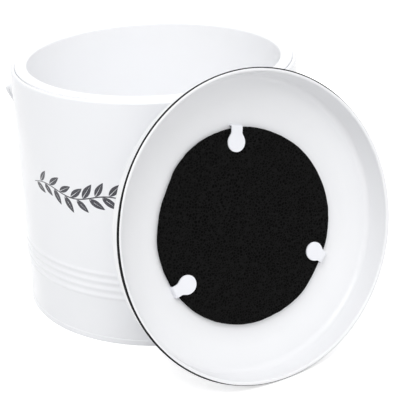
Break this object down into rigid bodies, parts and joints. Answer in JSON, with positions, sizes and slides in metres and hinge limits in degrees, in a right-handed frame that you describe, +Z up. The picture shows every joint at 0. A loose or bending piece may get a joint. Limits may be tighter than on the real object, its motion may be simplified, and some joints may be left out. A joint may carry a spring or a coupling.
{
  "type": "compost caddy with lid",
  "caption": "Round white enamelled steel caddy with ribs, a lift-out bucket, a wire bail with a wooden grip, and a loose filter lid that leans against it.",
  "frame": {"origin": "on the table, at the centre of the pail's base", "axes": "+Z up; -Y is the pail's decorated front; the bail's pivots lie along X; the lid leans on the +X side of the front"},
  "size_m": [0.3036, 0.3138, 0.2065],
  "materials": {
    "white_enamel": "white powder coat, satin gloss",
    "lid_enamel": "white powder coat with a black line on the rolled edge",
    "wire_enamel": "white powder coat",
    "rivet_enamel": "white powder coat",
    "tab_enamel": "white powder coat",
    "white_plastic": "moulded, semi-gloss",
    "bright_steel": "bright zinc",
    "grip_wood": "turned beech, oiled",
    "knob_wood": "turned beech, oiled",
    "filter_foam": "open carbon foam",
    "insert_brass": "turned",
    "washer_fibre": "matt black fibre"
  },
  "bodies": {
    "pail": {"pail_wall": "white_enamel", "rim_wire": "bright_steel", "pail_base": "white_enamel", "ear_left": "white_enamel", "ear_right": "white_enamel", "ear_rivets_left": "rivet_enamel", "ear_rivets_right": "rivet_enamel"},
    "bucket": {"inner_bucket": "white_plastic"},
    "bail": {"bail_wire": "wire_enamel"},
    "grip": {"bail_grip": "grip_wood"},
    "lid": {"lid_shell": "lid_enamel", "charcoal_filter": "filter_foam", "filter_tab_top": "tab_enamel", "filter_tab_left": "tab_enamel", "filter_tab_right": "tab_enamel", "knob": "knob_wood", "knob_insert": "insert_brass", "knob_washer": "washer_fibre", "knob_screw": "bright_steel"}
  },
  "joints": [
    {"name": "bucket_lift", "type": "slide", "parent": "pail", "child": "bucket", "axis": [0, 0, 1], "range_m": [0, 0.19]},
    {"name": "bail_swing", "type": "hinge", "parent": "pail", "child": "bail", "pos_m": [0, 0, 0.1565], "axis": [1, 0, 0], "range_deg": [0, 185]},
    {"name": "grip_spin", "type": "hinge", "parent": "bail", "child": "grip", "pos_m": [0, 0.1165, 0.018], "axis": [1, 0, 0], "continuous": true},
    {"name": "lid_lift", "type": "slide", "parent": "pail", "child": "lid", "axis": [0.4849, -0.5146, 0.7071], "range_m": [0, 0.2]}
  ]
}
